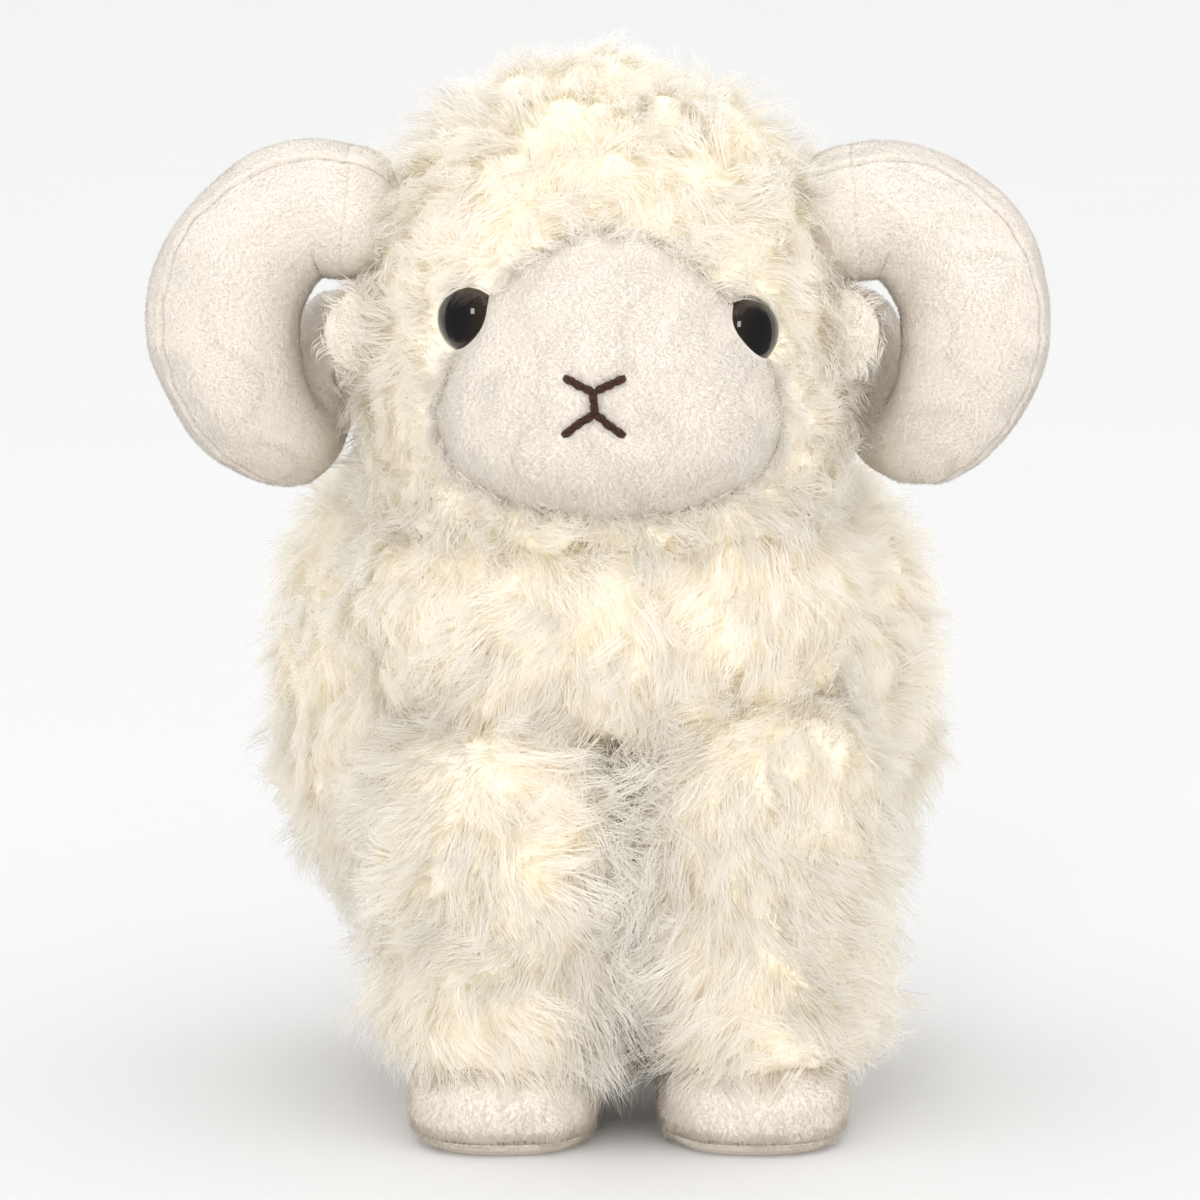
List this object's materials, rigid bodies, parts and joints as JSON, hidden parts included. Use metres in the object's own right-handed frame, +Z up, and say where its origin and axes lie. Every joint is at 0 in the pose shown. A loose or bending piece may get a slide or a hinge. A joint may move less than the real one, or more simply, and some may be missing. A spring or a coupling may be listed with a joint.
{
  "type": "plush sheep",
  "caption": "Standing stuffed sheep with shaggy cream wool, a curly hood, a smooth muzzle, glossy safety eyes, a stitched mouth, curled horns and soft feet.",
  "frame": {"origin": "on the floor under the middle of the toy's bounding box", "axes": "+Z up; the face looks towards -Y; +X is to the right of someone who looks at the face"},
  "size_m": [0.204, 0.1936, 0.249],
  "materials": {
    "shaggy_wool": "long shaggy cream pile",
    "curly_wool": "short curly cream pile",
    "short_plush": "smooth short-napped plush",
    "filling": "loose polyester fibre",
    "eye_plastic": "polished black",
    "washer_plastic": "natural moulded",
    "thread": "twisted embroidery thread"
  },
  "bodies": {
    "sheep": {"body_cover": "shaggy_wool", "body_stuffing": "filling", "head_hood": "curly_wool", "head_stuffing": "filling", "face_panel": "short_plush", "left_eye": "eye_plastic", "right_eye": "eye_plastic", "left_eye_washer": "washer_plastic", "right_eye_washer": "washer_plastic", "nose_mouth_embroidery": "thread", "front_left_leg_sleeve": "shaggy_wool", "front_right_leg_sleeve": "shaggy_wool", "rear_left_leg_sleeve": "shaggy_wool", "rear_right_leg_sleeve": "shaggy_wool", "front_left_leg_stuffing": "filling", "front_right_leg_stuffing": "filling", "rear_left_leg_stuffing": "filling", "rear_right_leg_stuffing": "filling", "front_left_foot": "short_plush", "front_right_foot": "short_plush", "rear_left_foot": "short_plush", "rear_right_foot": "short_plush", "front_left_sole": "short_plush", "front_right_sole": "short_plush", "rear_left_sole": "short_plush", "rear_right_sole": "short_plush"},
    "left_horn": {"left_horn_cover": "short_plush", "left_horn_stuffing": "filling"},
    "right_horn": {"right_horn_cover": "short_plush", "right_horn_stuffing": "filling"},
    "left_ear": {"left_ear": "curly_wool"},
    "right_ear": {"right_ear": "curly_wool"},
    "tail": {"tail": "shaggy_wool"}
  },
  "joints": [
    {"name": "left_horn_sway", "type": "hinge", "parent": "sheep", "child": "left_horn", "pos_m": [-0.05715, -0.045, 0.21107], "axis": [0, 0, 1], "range_deg": [-3, 15], "stiffness_Nm_per_rad": 0.02},
    {"name": "right_horn_sway", "type": "hinge", "parent": "sheep", "child": "right_horn", "pos_m": [0.05715, -0.045, 0.21107], "axis": [0, 0, -1], "range_deg": [-3, 15], "stiffness_Nm_per_rad": 0.02},
    {"name": "left_ear_fold", "type": "hinge", "parent": "sheep", "child": "left_ear", "pos_m": [-0.05404, -0.054, 0.185], "axis": [0, 0, 1], "range_deg": [-20, 20], "stiffness_Nm_per_rad": 0.001},
    {"name": "right_ear_fold", "type": "hinge", "parent": "sheep", "child": "right_ear", "pos_m": [0.05504, -0.054, 0.185], "axis": [0, 0, -1], "range_deg": [-20, 20], "stiffness_Nm_per_rad": 0.001},
    {"name": "tail_lift", "type": "hinge", "parent": "sheep", "child": "tail", "pos_m": [0.001, 0.08282, 0.122], "axis": [1, 0, 0], "range_deg": [0, 40], "stiffness_Nm_per_rad": 0.002}
  ]
}
